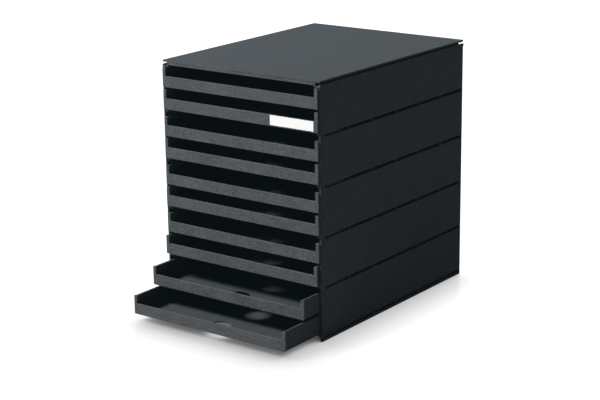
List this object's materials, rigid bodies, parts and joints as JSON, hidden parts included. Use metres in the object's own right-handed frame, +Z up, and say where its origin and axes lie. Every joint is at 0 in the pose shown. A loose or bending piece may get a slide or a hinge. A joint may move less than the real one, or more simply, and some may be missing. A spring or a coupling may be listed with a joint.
{
  "type": "file box with drawer",
  "caption": "Desktop file box in black plastic: stacked frames under one cover hold open-fronted letter trays that slide out, each with a finger hole in its floor.",
  "frame": {"origin": "centre of the casing's footprint, on the surface it stands on", "axes": "+X to the right seen from the front, +Y from the open front to the back wall, +Z up"},
  "size_m": [0.246, 0.3985, 0.3268],
  "materials": {
    "casing_plastic": "fine moulded texture",
    "tray_plastic": "fine moulded texture, smoother inside",
    "label": "blank white card"
  },
  "bodies": {
    "casing": {"top_cover": "casing_plastic", "frame_1": "casing_plastic", "frame_2": "casing_plastic", "frame_3": "casing_plastic", "frame_4": "casing_plastic", "frame_5": "casing_plastic"},
    "tray_1_body": {"tray_1": "tray_plastic"},
    "tray_2_body": {"tray_2": "tray_plastic", "label_strip": "label"},
    "tray_3_body": {"tray_3": "tray_plastic"},
    "tray_4_body": {"tray_4": "tray_plastic"},
    "tray_5_body": {"tray_5": "tray_plastic"},
    "tray_6_body": {"tray_6": "tray_plastic"},
    "tray_7_body": {"tray_7": "tray_plastic"},
    "tray_8_body": {"tray_8": "tray_plastic"},
    "tray_9_body": {"tray_9": "tray_plastic"},
    "tray_10_body": {"tray_10": "tray_plastic"}
  },
  "joints": [
    {"name": "slide_1", "type": "slide", "parent": "casing", "child": "tray_1_body", "axis": [0, -1, 0], "range_m": [-0.0005, 0.2663]},
    {"name": "slide_2", "type": "slide", "parent": "casing", "child": "tray_2_body", "axis": [0, -1, 0], "range_m": [-0.0003, 0.2665]},
    {"name": "slide_3", "type": "slide", "parent": "casing", "child": "tray_3_body", "axis": [0, -1, 0], "range_m": [0, 0.2668]},
    {"name": "slide_4", "type": "slide", "parent": "casing", "child": "tray_4_body", "axis": [0, -1, 0], "range_m": [-0.0001, 0.2667]},
    {"name": "slide_5", "type": "slide", "parent": "casing", "child": "tray_5_body", "axis": [0, -1, 0], "range_m": [0, 0.2668]},
    {"name": "slide_6", "type": "slide", "parent": "casing", "child": "tray_6_body", "axis": [0, -1, 0], "range_m": [-0.0003, 0.2665]},
    {"name": "slide_7", "type": "slide", "parent": "casing", "child": "tray_7_body", "axis": [0, -1, 0], "range_m": [0, 0.2668]},
    {"name": "slide_8", "type": "slide", "parent": "casing", "child": "tray_8_body", "axis": [0, -1, 0], "range_m": [-0.0043, 0.2625]},
    {"name": "slide_9", "type": "slide", "parent": "casing", "child": "tray_9_body", "axis": [0, -1, 0], "range_m": [-0.0318, 0.235]},
    {"name": "slide_10", "type": "slide", "parent": "casing", "child": "tray_10_body", "axis": [0, -1, 0], "range_m": [-0.0698, 0.197]}
  ]
}
